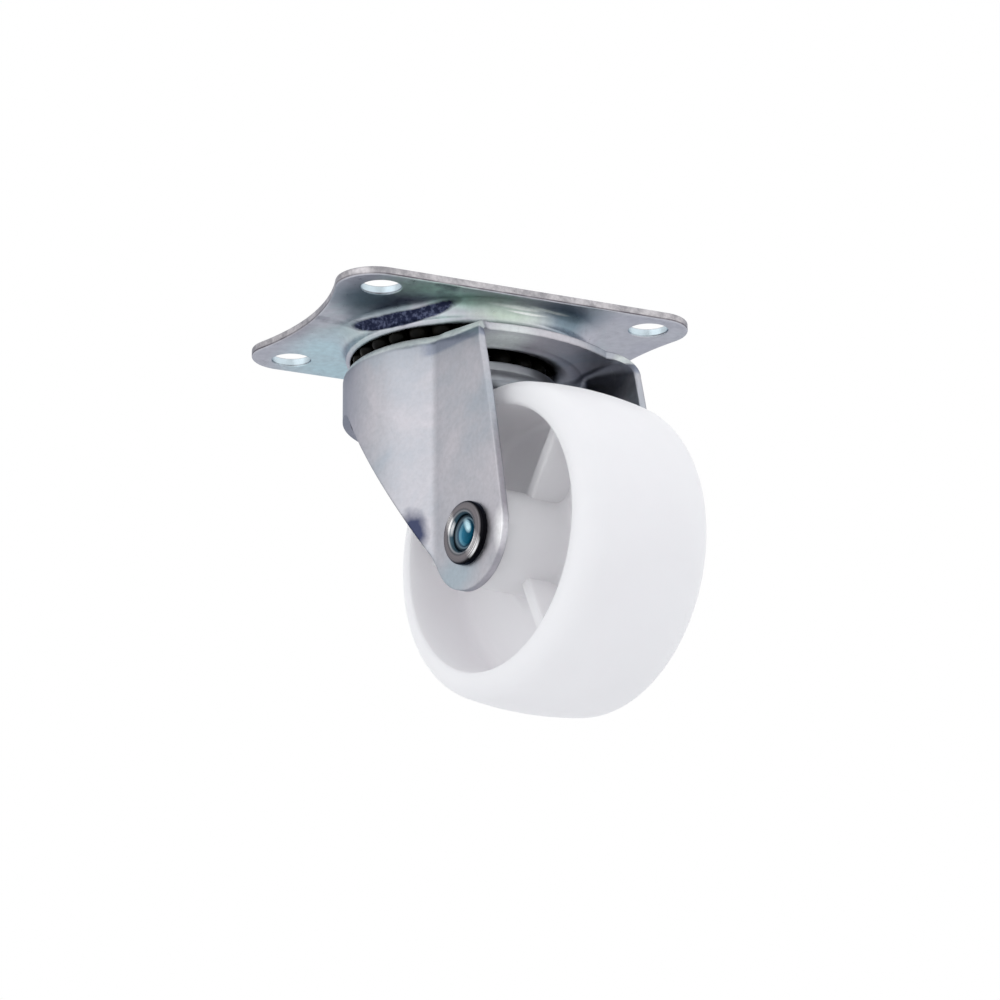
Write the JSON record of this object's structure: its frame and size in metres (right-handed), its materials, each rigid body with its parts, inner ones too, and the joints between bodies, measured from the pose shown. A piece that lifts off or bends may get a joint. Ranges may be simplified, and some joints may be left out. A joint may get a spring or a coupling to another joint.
{
  "type": "swivel caster",
  "caption": "Plate-mounted swivel caster: a pressed steel fork turns on a double ball race and carries a dished, ribbed plastic wheel on a tubular rivet.",
  "frame": {"origin": "centre of the four bolt holes, on the plate's mounting face", "axes": "+Z out of the mounting face, X along the plate's short side, Y along its long side. The fork is turned 11 degrees about +Z at rest, so its trail points 11 degrees from +X towards +Y"},
  "size_m": [0.0695, 0.0594, 0.0656],
  "materials": {
    "plated_plate": "bright zinc plate with a blue and green passivation tint",
    "plated_fork": "satin zinc plate with a faint blue tint",
    "rivet_steel": "bright zinc plate",
    "ball_steel": "polished, greased",
    "wheel_plastic": "satin white nylon"
  },
  "bodies": {
    "plate": {"top_plate": "plated_plate", "king_pin": "rivet_steel", "lower_race_cup": "plated_plate"},
    "swivel": {"fork": "plated_fork", "axle_rivet": "rivet_steel"},
    "wheel": {"wheel": "wheel_plastic"},
    "upper_ball_ring": {"upper_ball_01": "ball_steel", "upper_ball_02": "ball_steel", "upper_ball_03": "ball_steel", "upper_ball_04": "ball_steel", "upper_ball_05": "ball_steel", "upper_ball_06": "ball_steel", "upper_ball_07": "ball_steel", "upper_ball_08": "ball_steel", "upper_ball_09": "ball_steel", "upper_ball_10": "ball_steel", "upper_ball_11": "ball_steel", "upper_ball_12": "ball_steel", "upper_ball_13": "ball_steel", "upper_ball_14": "ball_steel", "upper_ball_15": "ball_steel", "upper_ball_16": "ball_steel", "upper_ball_17": "ball_steel", "upper_ball_18": "ball_steel", "upper_ball_19": "ball_steel", "upper_ball_20": "ball_steel", "upper_ball_21": "ball_steel", "upper_ball_22": "ball_steel", "upper_ball_23": "ball_steel", "upper_ball_24": "ball_steel", "upper_ball_25": "ball_steel", "upper_ball_26": "ball_steel", "upper_ball_27": "ball_steel", "upper_ball_28": "ball_steel"},
    "lower_ball_ring": {"lower_ball_01": "ball_steel", "lower_ball_02": "ball_steel", "lower_ball_03": "ball_steel", "lower_ball_04": "ball_steel", "lower_ball_05": "ball_steel", "lower_ball_06": "ball_steel", "lower_ball_07": "ball_steel", "lower_ball_08": "ball_steel", "lower_ball_09": "ball_steel", "lower_ball_10": "ball_steel", "lower_ball_11": "ball_steel", "lower_ball_12": "ball_steel", "lower_ball_13": "ball_steel", "lower_ball_14": "ball_steel", "lower_ball_15": "ball_steel", "lower_ball_16": "ball_steel", "lower_ball_17": "ball_steel", "lower_ball_18": "ball_steel", "lower_ball_19": "ball_steel"}
  },
  "joints": [
    {"name": "swivel_turn", "type": "hinge", "parent": "plate", "child": "swivel", "pos_m": [0, 0, -0.008], "axis": [0, 0, 1], "continuous": true},
    {"name": "wheel_spin", "type": "hinge", "parent": "swivel", "child": "wheel", "pos_m": [0.02071, 0.00403, -0.04065], "axis": [-0.1908, 0.9816, 0], "continuous": true},
    {"name": "upper_balls_orbit", "type": "hinge", "parent": "plate", "child": "upper_ball_ring", "pos_m": [0, 0, -0.0048], "axis": [0, 0, 1], "continuous": true},
    {"name": "lower_balls_orbit", "type": "hinge", "parent": "plate", "child": "lower_ball_ring", "pos_m": [0, 0, -0.0078], "axis": [0, 0, 1], "continuous": true}
  ],
  "couplings": [
    {"joint": "upper_balls_orbit", "follows": "swivel_turn", "ratio": 0.5},
    {"joint": "lower_balls_orbit", "follows": "swivel_turn", "ratio": 0.5}
  ]
}
